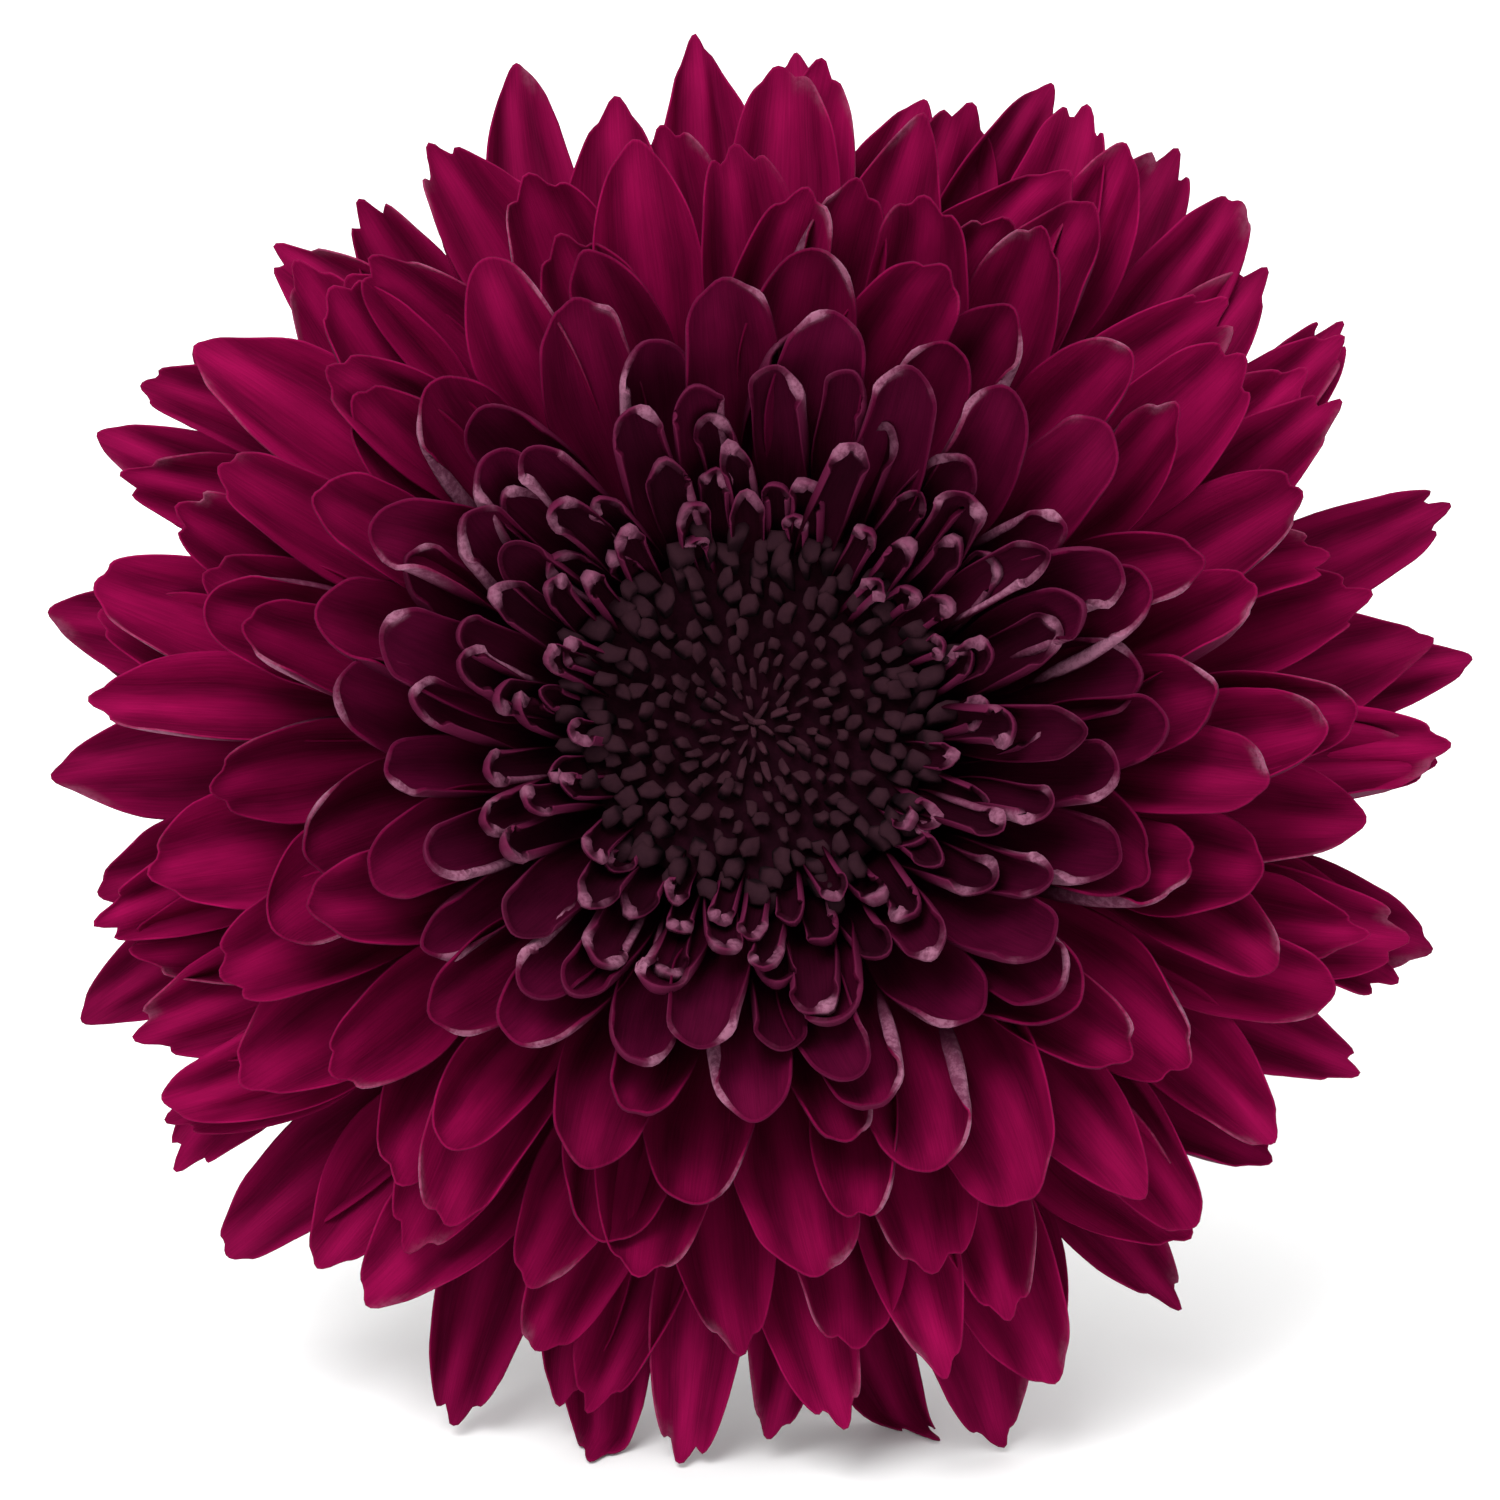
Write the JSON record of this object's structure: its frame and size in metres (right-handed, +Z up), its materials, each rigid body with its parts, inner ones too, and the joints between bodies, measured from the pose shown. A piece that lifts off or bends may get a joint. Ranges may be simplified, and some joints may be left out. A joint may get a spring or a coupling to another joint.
{
  "type": "cremon chrysanthemum",
  "caption": "A cut chrysanthemum bloom with dark crimson strap florets in spiral rows round a near-black eye, on a short leafy stem, lying down.",
  "frame": {"origin": "on the surface that the flower lies on, under the middle of its bounding box", "axes": "+Z up; the bloom faces -Y and upwards, and the stem runs back along +Y to its cut end on the surface"},
  "size_m": [0.108, 0.1272, 0.0991],
  "materials": {
    "petal": "velvety matte, deep crimson, darker towards the eye, mauve reverse",
    "bud": "near-black purple, dull",
    "bract": "dull green with a papery brown margin",
    "stem": "satin green, finely ribbed",
    "leaf": "matte dark green with paler veins"
  },
  "bodies": {
    "root": {"ray_florets": "petal", "disc_florets": "bud", "involucre": "bract", "stem": "stem", "leaf_1": "leaf", "leaf_2": "leaf", "leaf_3": "leaf"}
  },
  "joints": []
}
